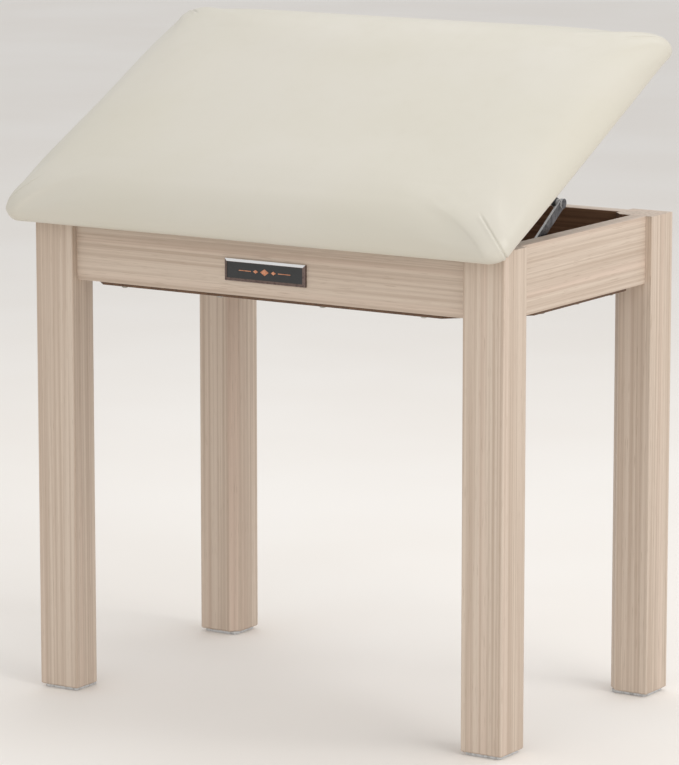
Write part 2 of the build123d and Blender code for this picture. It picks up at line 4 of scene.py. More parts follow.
import bmesh
import bpy
from mathutils import Matrix, Vector, noise


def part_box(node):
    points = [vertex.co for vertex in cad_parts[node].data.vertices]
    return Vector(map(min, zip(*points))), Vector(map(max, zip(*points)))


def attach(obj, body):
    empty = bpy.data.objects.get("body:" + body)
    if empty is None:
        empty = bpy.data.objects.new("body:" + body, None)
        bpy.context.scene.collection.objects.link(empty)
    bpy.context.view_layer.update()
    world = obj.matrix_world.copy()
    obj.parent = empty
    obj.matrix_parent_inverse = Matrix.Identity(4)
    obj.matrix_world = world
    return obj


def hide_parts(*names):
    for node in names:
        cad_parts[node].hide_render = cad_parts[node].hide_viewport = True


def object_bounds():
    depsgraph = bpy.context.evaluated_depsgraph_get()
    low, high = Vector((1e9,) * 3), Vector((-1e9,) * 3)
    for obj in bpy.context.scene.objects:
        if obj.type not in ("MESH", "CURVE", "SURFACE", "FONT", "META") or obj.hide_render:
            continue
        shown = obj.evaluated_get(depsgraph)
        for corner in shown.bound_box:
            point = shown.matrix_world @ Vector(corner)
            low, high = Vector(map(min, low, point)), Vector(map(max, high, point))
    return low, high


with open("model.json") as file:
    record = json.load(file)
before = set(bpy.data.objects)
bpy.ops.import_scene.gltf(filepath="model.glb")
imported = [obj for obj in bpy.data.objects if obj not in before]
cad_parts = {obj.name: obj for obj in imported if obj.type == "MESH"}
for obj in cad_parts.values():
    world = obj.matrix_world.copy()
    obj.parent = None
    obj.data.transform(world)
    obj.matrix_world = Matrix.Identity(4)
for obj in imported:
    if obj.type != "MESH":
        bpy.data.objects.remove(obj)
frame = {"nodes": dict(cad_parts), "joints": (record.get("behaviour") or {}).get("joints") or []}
cad_low, cad_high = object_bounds()
nodes = frame["nodes"]
MM = 0.001  # one millimetre in the scene's metres

# ---- legs ----
# Four square posts of fibreboard wrapped in a satin oak-pattern foil with a straight grain.
# The corner that faces into the box is cut off. The box's inside is foiled dark brown, and the
# legs' own faces inside it are given the same brown as painted shade over their pale foil.
PALE_FOIL = (207, 191, 175)
FOIL_STREAK = (186, 167, 150)
FOIL_PORE = (168, 147, 128)
FOIL_ROSY = (210, 186, 170)
# dark brown of the boards' inner foil, also put on the legs' inner faces as painted shade
BOX_BROWN_AND_SHADE = (156, 119, 92)
BOX_BROWN_AND_SHADE_DARK = (121, 88, 65)
LEG_NAMES = ("leg_front_left", "leg_front_right", "leg_rear_left", "leg_rear_right")
LEG_SHEET = 1.3  # where on the printed sheet the first leg's foil is cut from
SHEET_STEP = (0.37, 0.61, 0.83)  # metres along each axis from one cut to the next
ALONG_X, ALONG_Y, UP = range(3)


def linear(red, green, blue):
    """A screen colour of 0 to 255 a channel as the shader's own colour."""
    values = [c / 255 for c in (red, green, blue)]
    return tuple(c / 12.92 if c < 0.04045 else ((c + 0.055) / 1.055) ** 2.4 for c in values) + (1,)


class Finish:
    """A material under construction: its tree, its main shader and its object coordinates."""

    def __init__(self, name, **shader):
        self.material = bpy.data.materials.new(name)
        self.material.use_nodes = True
        self.tree = self.material.node_tree
        self.shader = self.tree.nodes["Principled BSDF"]
        for socket, value in shader.items():
            self.shader.inputs[socket.replace("_", " ")].default_value = value
        self.place = self.add("TexCoord").outputs["Object"]

    def add(self, kind, **sockets):
        """A new node. Each keyword is a socket to fill, with a value or with another output."""
        made = self.tree.nodes.new("ShaderNode" + kind)
        for name, value in sockets.items():
            self.fill(made, name.replace("_", " "), value)
        return made

    def fill(self, made, socket, value):
        """Sets or links one socket, which is found by its name, or as i0, i1 and so on by its place."""
        target = made.inputs[int(socket[1:]) if socket[0] == "i" and socket[1:].isdigit() else socket]
        if isinstance(value, bpy.types.NodeSocket):
            self.tree.links.new(value, target)
        else:
            target.default_value = value

    def math(self, operation, first, second=0.0):
        made = self.add("Math", i0=first, i1=second)
        made.operation = operation
        return made.outputs[0]

    def stretched(self, scale, shift=(0, 0, 0)):
        """Object coordinates shifted and then scaled along each axis, in features a metre."""
        moved = self.add("Mapping", Vector=self.place, Location=shift, Scale=scale)
        return moved.outputs[0]

    def noise(self, where, scale=1.0, detail=3.0, rough=0.5, twist=0.0):
        made = self.add(
            "TexNoise", Vector=where, Scale=scale, Detail=detail, Roughness=rough, Distortion=twist
        )
        return made.outputs["Fac"]

    def ramp(self, value, start, end, low=0.0, high=1.0):
        """Eases from low to high as the value goes from start to end, and stays level outside."""
        made = self.add("MapRange", Value=value)
        for socket, number in (("From Min", start), ("From Max", end), ("To Min", low), ("To Max", high)):
            made.inputs[socket].default_value = number
        made.interpolation_type = "SMOOTHSTEP"
        return made.outputs[0]

    def mix(self, share, first, second):
        """Colour that goes from first to second as share goes from 0 to 1."""
        made = self.tree.nodes.new("ShaderNodeMix")
        made.data_type = "RGBA"
        self.fill(made, "i0", share)
        self.fill(made, "i6", first)
        self.fill(made, "i7", second)
        return made.outputs[2]

    def bump(self, height, strength, distance, under=None):
        """A surface relief from that height, laid over the relief under it if there is one."""
        made = self.add("Bump", Height=height, Strength=strength, Distance=distance)
        if under is not None:
            self.fill(made, "Normal", under)
        return made.outputs[0]

    def finish(self, colour=None, roughness=None, normal=None):
        """Links the shader's inputs and hands over the material."""
        for socket, value in (("Base Color", colour), ("Roughness", roughness), ("Normal", normal)):
            if value is not None:
                self.fill(self.shader, socket, value)
        return self.material


def coat_node(name, material):
    """Gives a CAD node that material all over."""
    mesh = nodes[name].data
    mesh.materials.clear()
    mesh.materials.append(material)


box_low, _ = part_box("leg_front_left")
_, box_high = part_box("leg_rear_right")
frame_y = (box_low.y + box_high.y) / 2
panel_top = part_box("bottom_panel")[1].z
room_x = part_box("apron_right")[0].x
room_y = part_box("apron_rear")[0].y - frame_y
rail_top = box_high.z
brown_reach = 0.15 * MM  # how far past a board's inner face the brown foil still counts
brown_below_top = 0.1 * MM  # the boards' top edges stay pale


def foil(name, grain, seed):
    """Printed oak foil whose grain runs along one axis, dark brown on faces inside the box: the boards' own
    brown inner foil, and painted shade on the legs.
    """
    skin = Finish(name, Specular_IOR_Level=0.42)

    def scale(across, along):
        """Features a metre across the grain and along it."""
        return tuple(along if axis == grain else across for axis in range(3))

    shift = tuple(seed * step for step in SHEET_STEP)
    streaks = skin.noise(skin.stretched(scale(330, 1.4), shift), detail=2.5, rough=0.6)
    fine = skin.noise(skin.stretched(scale(760, 7), shift), detail=2, rough=0.6)
    pores = skin.noise(skin.stretched(scale(1500, 45), shift), detail=1)
    broad = skin.noise(skin.stretched(scale(60, 0.8), shift), detail=2)
    tone = skin.mix(skin.ramp(streaks, 0.36, 0.68), linear(*PALE_FOIL), linear(*FOIL_STREAK))
    tone = skin.mix(skin.ramp(broad, 0.5, 0.72, 0, 0.5), tone, linear(*FOIL_ROSY))
    tone = skin.mix(skin.ramp(fine, 0.54, 0.72, 0, 0.5), tone, linear(*FOIL_STREAK))
    tone = skin.mix(skin.ramp(pores, 0.62, 0.74, 0, 0.55), tone, linear(*FOIL_PORE))
    corner = skin.add("SeparateXYZ", Vector=skin.place)
    across = skin.math("ABSOLUTE", corner.outputs[0])
    deep = skin.math("ABSOLUTE", skin.math("SUBTRACT", corner.outputs[1], frame_y))
    inner_brown_and_shade = skin.math("LESS_THAN", across, room_x + brown_reach)
    inner_brown_and_shade = skin.math("MULTIPLY", inner_brown_and_shade, skin.math("LESS_THAN", deep, room_y + brown_reach))
    inner_brown_and_shade = skin.math("MULTIPLY", inner_brown_and_shade, skin.math("GREATER_THAN", corner.outputs[2], panel_top))
    below_top = skin.math("LESS_THAN", corner.outputs[2], rail_top - brown_below_top)
    inner_brown_and_shade = skin.math("MULTIPLY", inner_brown_and_shade, below_top)
    brown_and_shade = skin.mix(skin.ramp(streaks, 0.3, 0.7), linear(*BOX_BROWN_AND_SHADE), linear(*BOX_BROWN_AND_SHADE_DARK))
    # faces inside the box turn dark brown: real inner foil on the boards, painted shade on the legs
    tone = skin.mix(inner_brown_and_shade, tone, brown_and_shade)
    gloss = skin.ramp(streaks, 0.3, 0.7, 0.5, 0.6)
    relief = skin.bump(fine, 0.25, 0.12 * MM)
    relief = skin.bump(pores, 0.3, 0.08 * MM, relief)
    return skin.finish(tone, gloss, relief)


# on the legs, the dark brown inside the box is painted shade over the pale foil
for seed, name in enumerate(LEG_NAMES):
    coat_node(name, foil(f"oak_foil_{name}", UP, seed + LEG_SHEET))

# ---- aprons ----
# Four 16 mm boards in the same foil, with the grain along their length and the face that
# looks into the box dark brown. Each is joined to the legs by dowels and glue.
APRON_SHEET = 7.1
APRON_GRAINS = (
    ("apron_front", ALONG_X), ("apron_rear", ALONG_X), ("apron_left", ALONG_Y), ("apron_right", ALONG_Y)
)
for seed, (name, grain) in enumerate(APRON_GRAINS):
    coat_node(name, foil(f"oak_foil_{name}", grain, seed + APRON_SHEET))

# ---- dowels ----
# Fluted beech dowels, two at each end of an apron, glued into both parts. The wood is pale,
# with a fine even fleck.
dowel_wood = Finish("dowel_beech", Specular_IOR_Level=0.3)
fleck = dowel_wood.noise(dowel_wood.stretched((900, 900, 900)), detail=4)
coat_node(
    "apron_dowels",
    dowel_wood.finish(
        dowel_wood.mix(dowel_wood.ramp(fleck, 0.3, 0.7), linear(214, 182, 142), linear(178, 140, 98)),
        dowel_wood.ramp(fleck, 0.3, 0.7, 0.6, 0.8),
        dowel_wood.bump(fleck, 0.3, 0.2 * MM),
    ),
)


# ---- screws, bolts, nuts and corner braces ----
# Bright zinc-plated steel pressings and fasteners, a little dulled, with fine drawing marks.
def plated(name, bright, dull, rough, marks=(600, 600, 600)):
    """Zinc-plated steel with cloudy plating, and drawing marks that many to a metre on each axis."""
    steel = Finish(name, Metallic=1.0)
    cloud = steel.noise(steel.stretched((70, 70, 70)), detail=4)
    drawn = steel.noise(steel.stretched(marks), detail=3)
    tone = steel.mix(steel.ramp(cloud, 0.35, 0.7), linear(*bright), linear(*dull))
    gloss = steel.math(
        "ADD",
        steel.ramp(drawn, 0.3, 0.7, rough - 0.07, rough + 0.07),
        steel.ramp(cloud, 0.3, 0.7, -0.05, 0.08),
    )
    return steel.finish(tone, gloss, steel.bump(drawn, 0.12, 0.05 * MM))


zinc = plated("zinc_plate", (198, 198, 192), (158, 157, 150), 0.34)
for name in (
    "hanger_bolts", "brace_washers", "brace_nuts", "brace_screws", "bottom_panel_screws", "glide_nails",
    "hinge_frame_screws", "hinge_seat_screws", "stay_foot_screws", "stay_seat_screws", "bumper_screws",
    "name_plate_pins",
):
    coat_node(name, zinc)
coat_node("corner_braces", plated("brace_plate", (186, 186, 180), (140, 140, 134), 0.4, (60, 60, 1800)))

# ---- glides ----
# Pale grey moulded plastic pads, a little scuffed. One sits under each leg, held up into it by
# a nail.
pad = Finish("glide_plastic", Specular_IOR_Level=0.4)
scuff = pad.noise(pad.stretched((240, 240, 60)), detail=5, rough=0.65)
coat_node(
    "leg_glides",
    pad.finish(
        pad.mix(pad.ramp(scuff, 0.45, 0.75), linear(206, 207, 208), linear(160, 158, 154)),
        pad.ramp(scuff, 0.3, 0.7, 0.42, 0.68),
        pad.bump(scuff, 0.2, 0.15 * MM),
    ),
)

# ---- bottom ----
# A sheet of dark hardboard with its corners cut to clear the legs. It is screwed up under the
# aprons.
board = Finish("dark_hardboard", Specular_IOR_Level=0.35)
fibre = board.noise(board.stretched((160, 160, 160)), detail=6, rough=0.7)
speck = board.noise(board.stretched((900, 900, 900)), detail=2)
coat_node(
    "bottom_panel",
    board.finish(
        board.mix(
            board.ramp(speck, 0.6, 0.75, 0, 0.5),
            board.mix(board.ramp(fibre, 0.3, 0.7), linear(88, 66, 50), linear(112, 86, 66)),
            linear(138, 108, 84),
        ),
        board.ramp(fibre, 0.3, 0.7, 0.46, 0.66),
        board.bump(fibre, 0.3, 0.2 * MM),
    ),
)

# ---- name plate ----
# A small cast plate, pinned to the front apron: a dark chromed rim with a painted highlight
# along its upper bevel, round a near-black enamelled face with a plain copper ornament of lozenges and
# rules.
rim = Finish("plate_rim", Metallic=1.0)
haze = rim.noise(rim.stretched((420, 420, 420)), detail=4)
highlight_facing_up = rim.add("SeparateXYZ", Vector=rim.add("NewGeometry").outputs["Normal"]).outputs[2]
dark_chrome = rim.mix(rim.ramp(haze, 0.4, 0.8), linear(112, 98, 94), linear(88, 76, 74))
coat_node(
    "name_plate_rim",
    rim.finish(
        # the upward-facing bevel is painted near-white: a painted highlight for the light reflected from
        # above
        rim.mix(rim.ramp(highlight_facing_up, 0.1, 0.3), dark_chrome, linear(246, 246, 246)),
        rim.ramp(haze, 0.3, 0.7, 0.08, 0.2),
        rim.bump(haze, 0.04, 0.05 * MM),
    ),
)
enamel = Finish("plate_enamel", Coat_Weight=0.5, Coat_Roughness=0.08)
orange_peel = enamel.noise(enamel.stretched((260, 260, 260)), detail=2)
coat_node(
    "name_plate_face",
    enamel.finish(
        enamel.mix(enamel.ramp(orange_peel, 0.3, 0.7), linear(15, 19, 22), linear(24, 28, 32)),
        enamel.ramp(orange_peel, 0.3, 0.7, 0.12, 0.22),
        enamel.bump(orange_peel, 0.05, 0.1 * MM),
    ),
)
copper = Finish("plate_copper", Metallic=1.0)
tarnish = copper.noise(copper.stretched((500, 500, 500)), detail=4)
coat_node(
    "name_plate_inlay",
    copper.finish(
        copper.mix(copper.ramp(tarnish, 0.3, 0.7), linear(226, 166, 134), linear(186, 122, 94)),
        copper.ramp(tarnish, 0.3, 0.7, 0.24, 0.4),
        copper.bump(tarnish, 0.1, 0.05 * MM),
    ),
)

# ---- hinges ----
# Two pressed butt hinges along the front of the box, zinc plated. The leaves are screwed to the
# front apron and up into the seat board, and each pair turns on one steel pin.
hinge_metal = plated("hinge_plate", (190, 189, 182), (150, 148, 141), 0.36, (40, 1500, 1500))
for name in ("hinge_frame_leaves", "hinge_seat_leaves", "hinge_pins"):
    coat_node(name, hinge_metal)

# ---- folding stays ----
# Two riveted lid stays in dark-plated steel: a foot plate, a channel-shaped arm and a flat bar
# with a slotted eye on a bracket under the seat. The edges carry a painted highlight.
EDGE_HIGHLIGHT_PALENESS = 0.9  # share of the painted edge highlight: the edges are shaded mostly as a pale skin, so they stay light all round


def dark_steel(name, marks):
    """Dark zinc plate. The sheared edges, which face square to the hinge line, carry a painted highlight.
    """
    steel = Finish(name, Metallic=1.0)
    cloud = steel.noise(steel.stretched((260, 260, 260)), detail=4)
    drawn = steel.noise(steel.stretched(marks), detail=3)
    facing = steel.add("SeparateXYZ", Vector=steel.add("NewGeometry").outputs["Normal"]).outputs[0]
    # painted highlight: edges square to the hinge line are painted near-white and made mostly non-metallic
    edge = steel.ramp(steel.math("ABSOLUTE", facing), 0.7, 0.35)
    tone = steel.mix(steel.ramp(cloud, 0.35, 0.7), linear(112, 112, 116), linear(70, 70, 73))
    tone = steel.mix(edge, tone, linear(244, 244, 244))
    highlight_paleness = steel.math("MULTIPLY", edge, EDGE_HIGHLIGHT_PALENESS)
    steel.fill(steel.shader, "Metallic", steel.math("SUBTRACT", 1.0, highlight_paleness))
    return steel.finish(tone, steel.ramp(drawn, 0.3, 0.7, 0.24, 0.42), steel.bump(drawn, 0.15, 0.06 * MM))


stay_metal = dark_steel("stay_plate", (1200, 90, 90))
for side in ("left", "right"):
    for part in ("stay_arm", "stay_elbow_rivet", "stay_bar"):
        coat_node(f"{part}_{side}", stay_metal)
for name in ("stay_foot_plates", "stay_seat_brackets", "stay_foot_rivets", "stay_seat_rivets"):
    coat_node(name, stay_metal)

# ---- seat board ----
# Birch plywood, the flat base that the pad is built on. It lies hidden between the foam and
# the lining.
ply = Finish("plywood", Specular_IOR_Level=0.3)
figure = ply.noise(ply.stretched((14, 160, 160)), detail=5, rough=0.6, twist=0.4)
coat_node(
    "seat_board",
    ply.finish(
        ply.mix(ply.ramp(figure, 0.3, 0.7), linear(214, 188, 150), linear(178, 147, 108)),
        ply.ramp(figure, 0.3, 0.7, 0.6, 0.8),
        ply.bump(figure, 0.2, 0.2 * MM),
    ),
)

# ---- seat pad ----
# A foam pad wrapped round the board's edge and covered in cream vinyl. The vinyl is pulled tight
# over a bullnose edge, folded into one lapped pleat at each corner, and stapled under the board.
swing = next(j for j in frame["joints"] if j["name"] == "seat_hinge")
tilt = -math.radians(swing["range_deg"][0])
seat_plane = Matrix.Translation(Vector(swing["pos_m"])) @ Matrix.Rotation(tilt, 4, "X")
to_seat = seat_plane.inverted()


def span_in_seat(name):
    """Lowest and highest corner of a CAD node, measured square to the open seat."""
    points = [to_seat @ v.co for v in nodes[name].data.vertices]
    return (Vector([min(p[k] for p in points) for k in range(3)]),
            Vector([max(p[k] for p in points) for k in range(3)]))


pad_low, pad_high = span_in_seat("seat_cover")
board_low, _ = span_in_seat("seat_board")
pad_middle = (pad_low + pad_high) / 2
pad_start_inset = 0.8 * MM  # the pad starts a little small, because it swells
top_room = 4.5 * MM  # left above the flat pad for its crown
half_x = (pad_high.x - pad_low.x) / 2 - pad_start_inset
half_y = (pad_high.y - pad_low.y) / 2 - pad_start_inset
pad_base = pad_low.z
pad_top = pad_high.z - top_room
plan_round = 19 * MM  # radius of the pad's corners, seen from above
round_growth = 0.6  # how much that radius grows for each metre in from the edge
least_round = 1e-5  # stands for a square corner
nose_round = 8 * MM  # radius from the hem up into the side
roll_across = 36 * MM  # the rolled edge is a quarter ellipse, this far in
roll_high = pad_top - pad_base - nose_round
hem_insets = (31, 28, 24.5, 21, 17.5, 14, 11)  # loops of the hem under the board, in millimetres
hem_width = hem_insets[0] * MM
floor_rise = 4 * MM  # the pad's flat floor lies hidden inside the board
nose_steps = 5
roll_steps = 16
arc_steps = 14  # for half a corner
straight_steps_x = 92
straight_steps_y = 58
grid_inset = 64 * MM  # the middle of the top is a plain grid, this far in
flat_rings = 7  # between the rolled edge and that grid


def edge_profile():
    """(inset, height, corner radius) from the hem's inner edge, round the nose and onto the top."""
    under = [(inset * MM, pad_base) for inset in hem_insets]
    for step in range(nose_steps + 1):
        turn = math.pi / 2 * step / nose_steps
        under.append((nose_round * (1 - math.sin(turn)), pad_base + nose_round * (1 - math.cos(turn))))
    points = [(inset, height, max(plan_round - inset, least_round)) for inset, height in under]
    for step in range(1, roll_steps + 1):
        turn = math.pi / 2 * step / roll_steps
        inset = roll_across * (1 - math.cos(turn))
        height = pad_top - roll_high * (1 - math.sin(turn))
        points.append((inset, height, plan_round + round_growth * inset))
    return points


def side_of_ring(inset, bend, start, end, steps):
    """Points along one side of a rounded rectangle, from the middle of one corner to the next.

    The rectangle lies in from the pad's edge by inset, and bend is its corner radius. start and
    end are the signs of the side's two corners. The last point is left to the next side.
    """
    reach = Vector((half_x - inset, half_y - inset))
    first = Vector((start[0] * (reach.x - bend), start[1] * (reach.y - bend)))
    last = Vector((end[0] * (reach.x - bend), end[1] * (reach.y - bend)))
    along = (last - first).normalized()
    out = Vector((along.y, -along.x))
    points = []
    for step in range(arc_steps):
        turn = math.pi / 4 * (1 - step / arc_steps)
        points.append(first + bend * (out * math.cos(turn) - along * math.sin(turn)))
    for step in range(steps):
        points.append(first + out * bend + (last - first) * step / steps)
    for step in range(arc_steps):
        turn = math.pi / 4 * step / arc_steps
        points.append(last + bend * (out * math.cos(turn) + along * math.sin(turn)))
    return points


CORNER_SIGNS = ((-1, -1), (1, -1), (1, 1), (-1, 1))
SIDE_STEPS = (straight_steps_x, straight_steps_y, straight_steps_x, straight_steps_y)


def ring(inset, bend):
    """One closed loop of points round the pad, starting at the front left corner."""
    points = []
    for k in range(4):
        points += side_of_ring(inset, bend, CORNER_SIGNS[k], CORNER_SIGNS[(k + 1) % 4], SIDE_STEPS[k])
    return points


def pad_mesh():
    """The pad: rings of vertices round the edge, and a plain grid over the middle of the top.

    Its floor is left open, for one face to close it once the pad has swollen.
    """
    mesh = bmesh.new()
    count_x = straight_steps_x + 2 * arc_steps
    count_y = straight_steps_y + 2 * arc_steps
    core = Vector((half_x - grid_inset, half_y - grid_inset))

    def place(point, height):
        return mesh.verts.new((pad_middle.x + point.x, pad_middle.y + point.y, height))

    grid = [[place(Vector((core.x * (2 * i / count_x - 1), core.y * (2 * j / count_y - 1))), pad_top)
             for j in range(count_y + 1)] for i in range(count_x + 1)]
    rim_loop = (
        [grid[i][0] for i in range(count_x)]
        + [grid[count_x][j] for j in range(count_y)]
        + [grid[i][count_y] for i in range(count_x, 0, -1)]
        + [grid[0][j] for j in range(count_y, 0, -1)]
    )
    loops = [[place(p, height) for p in ring(inset, bend)] for inset, height, bend in edge_profile()]
    outer = ring(roll_across, plan_round + round_growth * roll_across)
    for step in range(1, flat_rings):
        share = step / flat_rings
        loops.append([place(p.lerp(Vector((v.co.x - pad_middle.x, v.co.y - pad_middle.y)), share), pad_top)
                      for p, v in zip(outer, rim_loop)])
    loops.append(rim_loop)
    for lower, upper in zip(loops, loops[1:]):
        for k in range(len(lower)):
            after = (k + 1) % len(lower)
            mesh.faces.new((lower[k], lower[after], upper[after], upper[k]))
    for i in range(count_x):
        for j in range(count_y):
            mesh.faces.new((grid[i][j], grid[i + 1][j], grid[i + 1][j + 1], grid[i][j + 1]))
    inner = [place(p, board_low.z + floor_rise) for p in ring(hem_width, least_round)]
    for k in range(len(inner)):
        after = (k + 1) % len(inner)
        mesh.faces.new((inner[k], inner[after], loops[0][after], loops[0][k]))
    data = bpy.data.meshes.new("seat_pad")
    mesh.to_mesh(data)
    mesh.free()
    return data


seat_pad = bpy.data.objects.new("seat_pad", pad_mesh())
bpy.context.scene.collection.objects.link(seat_pad)
pad_start = [v.co.copy() for v in seat_pad.data.vertices]

swell_frames = 20
swell_pressure = 4.0
swell_travel = 9 * MM
swell_passes = 10


def swell(piece, held, pressure, travel, passes):
    """Blows the pad up as cloth over its foam, held where it is stapled.

    All moves are scaled alike, by what brings the largest to travel, after that many passes that
    even each one out with its neighbours.
    """
    group = piece.vertex_groups.new(name="stapled")
    group.add(held, 1.0, "REPLACE")
    cloth = piece.modifiers.new("swell", "CLOTH")
    settings = cloth.settings
    settings.quality = 5
    settings.mass = 0.35
    settings.tension_stiffness = 25
    settings.compression_stiffness = 25
    settings.shear_stiffness = 12
    settings.bending_stiffness = 2.0
    settings.use_pressure = True
    settings.uniform_pressure_force = pressure
    settings.effector_weights.gravity = 0
    settings.vertex_group_mass = "stapled"
    cloth.collision_settings.use_collision = False
    for number in range(1, swell_frames + 1):
        bpy.context.scene.frame_set(number)
    blown = piece.evaluated_get(bpy.context.evaluated_depsgraph_get())
    moved = [v.co - start for v, start in zip(blown.data.vertices, pad_start)]
    piece.modifiers.remove(cloth)
    bpy.context.scene.frame_set(1)
    neighbours = [[] for _ in moved]
    for edge in piece.data.edges:
        a, b = edge.vertices
        neighbours[a].append(b)
        neighbours[b].append(a)
    fixed = set(held)
    longest = max(move.length for move in moved)
    for _ in range(passes):
        evened = []
        for k, move in enumerate(moved):
            if k not in fixed:
                move = (move + sum((moved[n] for n in neighbours[k]), Vector())) / (len(neighbours[k]) + 1)
            evened.append(move)
        moved = evened
    for vertex, start, move in zip(piece.data.vertices, pad_start, moved):
        vertex.co = start + move * (travel / longest)


def is_stapled(point):
    """True for the hem, flat under the board, and for the edge of the floor inside the board."""
    on_floor = abs(point.z - (board_low.z + floor_rise)) < 1 * MM
    within_hem = (abs(point.x - pad_middle.x) < half_x - hem_width + 1 * MM
                  and abs(point.y - pad_middle.y) < half_y - hem_width + 1 * MM)
    return point.z < pad_base + 0.2 * MM or on_floor and within_hem


stapled = [k for k, point in enumerate(pad_start) if is_stapled(point)]
swell(seat_pad, stapled, swell_pressure, swell_travel, swell_passes)

finer = seat_pad.modifiers.new("finer", "SUBSURF")
finer.levels = finer.render_levels = 1
smooth_pad = bpy.data.meshes.new_from_object(
    seat_pad.evaluated_get(bpy.context.evaluated_depsgraph_get())
)
seat_pad.modifiers.clear()
closed = bmesh.new()
closed.from_mesh(smooth_pad)
bmesh.ops.holes_fill(closed, edges=[e for e in closed.edges if e.is_boundary], sides=0)
bmesh.ops.recalc_face_normals(closed, faces=closed.faces)
closed.to_mesh(smooth_pad)
closed.free()
seat_pad.data = smooth_pad

pleat_inset = 36 * MM  # a pleat fans out from this far in from both edges
pleat_tip = 2 * MM  # it starts this far from there
pleat_fade = 9 * MM  # and has its full depth this much further on
pleat_side = 4 * MM  # its region goes this far past the corner's own quarter
pleat_lean = 7 * MM  # its foot is pulled round this far to the side
wave_rise = 0.15 * MM
waves_a_metre = 8
gather_depth = 0.5 * MM
gathers_a_radian = 20
gather_fade = 20 * MM


def fold_height(across, reach):
    """Height of a lapped pleat above the vinyl, across its line: a thin raised lap, then a groove."""
    raised = 0.6 * MM * math.exp(-((across + 1.0 * MM) / (2.2 * MM)) ** 2)
    groove = -1.5 * MM * math.exp(-((across - 0.6 * MM) / (0.9 * MM)) ** 2)
    return (raised + groove) * reach


def shape_corners(mesh):
    """Presses the lapped pleats, the gathered hem and slight hand-pulled waves into the vinyl."""
    normals = [v.normal.copy() for v in mesh.vertices]
    pleat_start = Vector((half_x - pleat_inset, half_y - pleat_inset))
    for vertex, normal in zip(mesh.vertices, normals):
        x, y, _ = vertex.co - pad_middle
        height = vertex.co.z - pad_base
        beyond = Vector((abs(x) - pleat_start.x, abs(y) - pleat_start.y))
        push = noise.noise(vertex.co * waves_a_metre) * wave_rise if height > 1 * MM else 0.0
        if min(beyond) > -pleat_side and beyond.length > pleat_tip:
            turn = math.atan2(beyond.y, beyond.x) - math.pi / 4
            lean = pleat_lean * max(0.0, 1 - height / (pad_top - pad_base))
            across = (turn * beyond.length + lean) * (-1 if y < 0 else 1)
            if height > 0.5 * MM:
                push += fold_height(across, min(1.0, (beyond.length - pleat_tip) / pleat_fade))
            else:
                gather = gather_depth * math.cos(turn * gathers_a_radian)
                push += gather * min(1.0, beyond.length / gather_fade)
        vertex.co += normal * push


shape_corners(seat_pad.data)
seat_pad.data.transform(seat_plane)
seat_pad.data.polygons.foreach_set("use_smooth", [True] * len(seat_pad.data.polygons))

vinyl = Finish("cream_vinyl", Coat_Weight=0.12, Coat_Roughness=0.35, Specular_IOR_Level=0.5)
pebble = vinyl.add("TexVoronoi", Vector=vinyl.place, Scale=950.0)
pebble.feature = "SMOOTH_F1"
crease = vinyl.noise(vinyl.stretched((60, 60, 60)), detail=4, rough=0.6)
patch = vinyl.noise(vinyl.stretched((5, 5, 5)), detail=2)
cream = vinyl.mix(vinyl.ramp(patch, 0.35, 0.65), linear(205, 200, 188), linear(203, 198, 184))
cream = vinyl.mix(vinyl.ramp(crease, 0.55, 0.8, 0, 0.14), cream, linear(197, 190, 175))
seat_pad.data.materials.clear()
seat_pad.data.materials.append(
    vinyl.finish(
        cream,
        vinyl.math("ADD", vinyl.ramp(crease, 0.3, 0.7, 0.36, 0.44), vinyl.ramp(patch, 0.3, 0.7, 0.0, 0.05)),
        vinyl.bump(pebble.outputs["Distance"], 0.12, 0.12 * MM, vinyl.bump(crease, 0.05, 0.3 * MM)),
    )
)
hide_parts("seat_cover", "seat_foam")
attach(seat_pad, "seat")

# ---- lining ----
# Black non-woven cloth stretched over the board's underside and stapled there. Its edge is
# turned in and laps over the vinyl's hem.
lining_low, lining_high = span_in_seat("seat_lining")
lap = 7 * MM
lining_size = (lining_high.x - lining_low.x + 2 * lap, lining_high.y - lining_low.y + 2 * lap)
lining_steps = (96, 120)
lining_below = 0.1 * MM  # below its place on the bare board
hem_drop = 0.95 * MM  # the turned edge lies this much lower, over the vinyl
turned_width = 6 * MM
slack_depth = 0.5 * MM
slack_waves = 22  # a metre
slack_fade = 20 * MM
lining_thick = 0.5 * MM
lining_mesh = bmesh.new()
rows = []
for i in range(lining_steps[0] + 1):
    row = []
    for j in range(lining_steps[1] + 1):
        u, v = i / lining_steps[0], j / lining_steps[1]
        x = lining_low.x - lap + lining_size[0] * u
        y = lining_low.y - lap + lining_size[1] * v
        rim_near = min(min(u, 1 - u) * lining_size[0], min(v, 1 - v) * lining_size[1])
        ripple = noise.noise(Vector((x * slack_waves, y * slack_waves, 3.7)))
        slack = slack_depth * ripple * min(1.0, rim_near / slack_fade)
        drop = hem_drop if rim_near < turned_width else 0.0
        row.append(lining_mesh.verts.new((x, y, lining_low.z - lining_below - drop + slack)))
    rows.append(row)
for i in range(lining_steps[0]):
    for j in range(lining_steps[1]):
        lining_mesh.faces.new((rows[i][j], rows[i][j + 1], rows[i + 1][j + 1], rows[i + 1][j]))
lining_data = bpy.data.meshes.new("board_lining")
lining_mesh.to_mesh(lining_data)
lining_mesh.free()
lining_data.transform(seat_plane)
lining_data.polygons.foreach_set("use_smooth", [True] * len(lining_data.polygons))
lining = bpy.data.objects.new("board_lining", lining_data)
bpy.context.scene.collection.objects.link(lining)
thick = lining.modifiers.new("cloth_thickness", "SOLIDIFY")
thick.thickness = lining_thick
thick.offset = -1
felt = Finish("black_lining", Specular_IOR_Level=0.2, Sheen_Weight=0.25)
hair = felt.noise(felt.stretched((700, 700, 700)), detail=5, rough=0.7)
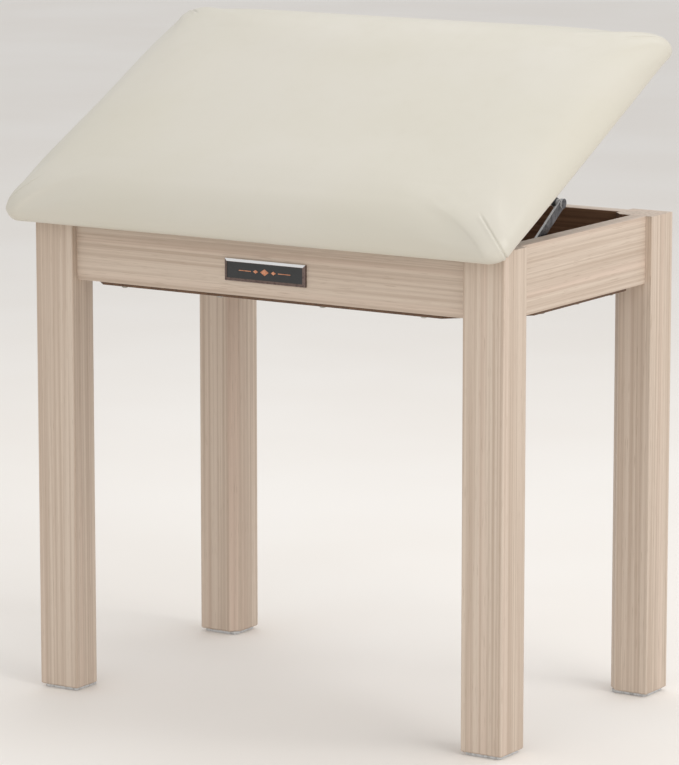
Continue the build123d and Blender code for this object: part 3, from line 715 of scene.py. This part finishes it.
dots = felt.add("TexVoronoi", Vector=felt.place, Scale=520.0)
lining_data.materials.append(
    felt.finish(
        felt.mix(felt.ramp(hair, 0.35, 0.7), linear(38, 37, 37), linear(62, 61, 60)),
        felt.ramp(hair, 0.3, 0.7, 0.8, 0.95),
        felt.bump(dots.outputs["Distance"], 0.35, 0.3 * MM, felt.bump(hair, 0.4, 0.2 * MM)),
    )
)
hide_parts("seat_lining")
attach(lining, "seat")

# ---- staples and bumpers ----
# Wire staples hold the hem and the lining. Four moulded rubber bumpers are screwed under the seat.
coat_node("seat_staples", plated("staple_wire", (206, 206, 204), (166, 166, 162), 0.28))
rubber = Finish("black_rubber", Specular_IOR_Level=0.35)
bloom = rubber.noise(rubber.stretched((300, 300, 300)), detail=4)
coat_node(
    "seat_bumpers",
    rubber.finish(
        rubber.mix(rubber.ramp(bloom, 0.4, 0.8), linear(34, 34, 35), linear(66, 66, 66)),
        rubber.ramp(bloom, 0.3, 0.7, 0.55, 0.75),
        rubber.bump(bloom, 0.2, 0.1 * MM),
    ),
)

# ---- floor, lights and camera ----
# A plain pale floor and sky. A large soft light stands on the right, one hangs above and behind
# the bench, and a broad, slightly warm one stands low in front.
floor_mesh = bpy.data.meshes.new("studio_floor")
floor_reach = 14.0
floor_mesh.from_pydata([(x * floor_reach, y * floor_reach, 0) for x, y in CORNER_SIGNS], [], [(0, 1, 2, 3)])
studio_floor = bpy.data.objects.new("studio_floor", floor_mesh)
bpy.context.scene.collection.objects.link(studio_floor)
sweep = Finish("floor_sweep", Roughness=0.8)
mottle = sweep.noise(sweep.stretched((2, 2, 2)), detail=2)
floor_mesh.materials.append(
    sweep.finish(sweep.mix(sweep.ramp(mottle, 0.3, 0.7), linear(244, 240, 235), linear(241, 236, 230)))
)

middle = (cad_low + cad_high) / 2


def softbox(name, azimuth, elevation, distance, size, watts, colour=(1, 1, 1)):
    """A square area light that faces the middle of the bench.

    Its azimuth goes round from the front towards the right, in degrees like the elevation.
    """
    lamp = bpy.data.lights.new(name, "AREA")
    lamp.size = size
    lamp.energy = watts
    lamp.color = colour
    holder = bpy.data.objects.new(name, lamp)
    a, e = math.radians(azimuth), math.radians(elevation)
    back = Vector((math.sin(a) * math.cos(e), -math.cos(a) * math.cos(e), math.sin(e)))
    holder.location = middle + back * distance
    holder.rotation_mode = "QUATERNION"
    holder.rotation_quaternion = (-back).to_track_quat("-Z", "Y")
    bpy.context.scene.collection.objects.link(holder)


softbox(
    "key_light", azimuth=84, elevation=34, distance=2.6, size=1.8, watts=24, colour=(1.0, 0.985, 0.97)
)
softbox("top_light", azimuth=190, elevation=66, distance=2.0, size=2.0, watts=11)
softbox(
    "front_fill", azimuth=0, elevation=12, distance=3.2, size=2.6, watts=15.5, colour=(1.0, 0.98, 0.95)
)

world = bpy.data.worlds.new("studio")
bpy.context.scene.world = world
world.use_nodes = True
sky = world.node_tree.nodes["Background"]
sky.inputs["Color"].default_value = linear(250, 250, 250)
sky.inputs["Strength"].default_value = 0.77

view_azimuth = math.radians(32.61)
view_elevation = math.radians(10.11)
view_distance = 3.961
aim = Vector((-0.01524, frame_y, 0.2886))
toward = Vector((
    math.sin(view_azimuth) * math.cos(view_elevation),
    -math.cos(view_azimuth) * math.cos(view_elevation),
    math.sin(view_elevation),
))
camera_data = bpy.data.cameras.new("camera")
camera_data.sensor_fit = "AUTO"
camera_data.sensor_width = 36
camera_data.lens = 201.4
camera = bpy.data.objects.new("camera", camera_data)
camera.location = aim + toward * view_distance
camera.rotation_mode = "QUATERNION"
camera.rotation_quaternion = (-toward).to_track_quat("-Z", "Y")
bpy.context.scene.collection.objects.link(camera)
bpy.context.scene.camera = camera
bpy.context.scene.view_settings.view_transform = "Standard"
